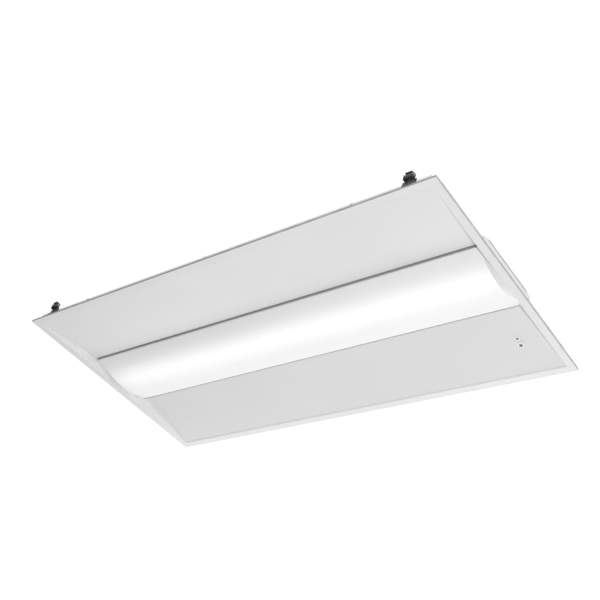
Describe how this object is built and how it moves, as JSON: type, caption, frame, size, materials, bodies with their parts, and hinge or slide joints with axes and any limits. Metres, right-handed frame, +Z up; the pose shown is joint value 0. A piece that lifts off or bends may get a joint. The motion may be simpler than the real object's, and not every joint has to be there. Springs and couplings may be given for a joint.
{
  "type": "recessed troffer light",
  "caption": "Rectangular recessed ceiling light with sloped white side reflectors, a bowed opal centre lens, rear driver box, grid clips and a test push-button.",
  "frame": {"origin": "centre of the underside of the ceiling flange", "axes": "+X along the long side towards the end with the test button, +Y across towards the side with the driver box, +Z up into the ceiling"},
  "size_m": [1.213, 0.603, 0.0726],
  "materials": {
    "white_frame": "satin powder coat",
    "white_reflector": "satin powder coat",
    "galvanised": "galvanised",
    "rail_metal": "satin",
    "lens_acrylic": "satin opal",
    "cap_white": "satin",
    "board_white": "solder-mask white",
    "chip_phosphor": "satin",
    "plug_plastic": "matte",
    "zinc_steel": "zinc plated",
    "ground_green": "painted",
    "driver_case": "satin",
    "unit_case": "matte",
    "battery_sleeve": "shrink sleeve",
    "grommet_rubber": "matte",
    "bezel_plastic": "satin",
    "button_plastic": "satin",
    "indicator_plastic": "gloss",
    "clip_steel": "dark spring steel",
    "lead_red": "matte",
    "lead_white": "matte",
    "lead_black": "matte"
  },
  "bodies": {
    "fixture": {"back_pan_far": "galvanised", "back_pan_near": "galvanised", "battery_leads": "lead_red", "battery_pack": "battery_sleeve", "board_plugs": "plug_plastic", "board_screws": "zinc_steel", "clip_bracket_1": "clip_steel", "clip_bracket_2": "clip_steel", "clip_bracket_3": "clip_steel", "clip_bracket_4": "clip_steel", "clip_pins": "zinc_steel", "clip_rivets": "zinc_steel", "cover_hinge_pins": "zinc_steel", "driver_box": "galvanised", "emergency_unit": "unit_case", "end_plate_left": "white_frame", "end_plate_right": "white_frame", "ground_screw": "ground_green", "hanger_tabs": "galvanised", "housing_screws": "zinc_steel", "indicator_bezel": "bezel_plastic", "indicator_lens": "indicator_plastic", "indicator_nut": "zinc_steel", "lamp_channel": "galvanised", "lead_grommets": "grommet_rubber", "led_board_1": "board_white", "led_board_2": "board_white", "led_board_3": "board_white", "led_board_4": "board_white", "led_chips": "chip_phosphor", "led_driver": "driver_case", "led_leads": "lead_red", "led_tray": "galvanised", "lens": "lens_acrylic", "lens_end_cap_left": "cap_white", "lens_end_cap_right": "cap_white", "lens_rail_far": "rail_metal", "lens_rail_near": "rail_metal", "link_leads": "lead_white", "power_leads": "lead_black", "side_rail_far": "white_frame", "side_rail_near": "white_frame", "side_reflector_far": "white_reflector", "side_reflector_near": "white_reflector", "supply_connector": "plug_plastic", "test_leads": "lead_white", "test_nut": "zinc_steel", "test_spring": "zinc_steel", "test_switch_body": "bezel_plastic"},
    "cover": {"driver_cover": "galvanised", "cover_screw": "zinc_steel"},
    "button": {"test_button": "button_plastic"},
    "clip_arm_1": {"clip_arm_1": "clip_steel"},
    "clip_arm_2": {"clip_arm_2": "clip_steel"},
    "clip_arm_3": {"clip_arm_3": "clip_steel"},
    "clip_arm_4": {"clip_arm_4": "clip_steel"}
  },
  "joints": [
    {"name": "cover_hinge", "type": "hinge", "parent": "fixture", "child": "cover", "pos_m": [0.04, 0.2285, 0.0693], "axis": [-1, 0, 0], "range_deg": [0, 100]},
    {"name": "test_press", "type": "slide", "parent": "fixture", "child": "button", "axis": [0, 0.1438, 0.9896], "range_m": [0, 0.002], "stiffness_N_per_m": 300, "springref_m": -0.002, "deforming": ["test_spring"]},
    {"name": "clip_1_swing", "type": "hinge", "parent": "fixture", "child": "clip_arm_1", "pos_m": [-0.538, -0.2964, 0.0365], "axis": [1, 0, 0], "range_deg": [0, 90]},
    {"name": "clip_2_swing", "type": "hinge", "parent": "fixture", "child": "clip_arm_2", "pos_m": [0.538, -0.2964, 0.0365], "axis": [1, 0, 0], "range_deg": [0, 90]},
    {"name": "clip_3_swing", "type": "hinge", "parent": "fixture", "child": "clip_arm_3", "pos_m": [-0.538, 0.2964, 0.0365], "axis": [-1, 0, 0], "range_deg": [0, 90]},
    {"name": "clip_4_swing", "type": "hinge", "parent": "fixture", "child": "clip_arm_4", "pos_m": [0.538, 0.2964, 0.0365], "axis": [-1, 0, 0], "range_deg": [0, 90]}
  ]
}
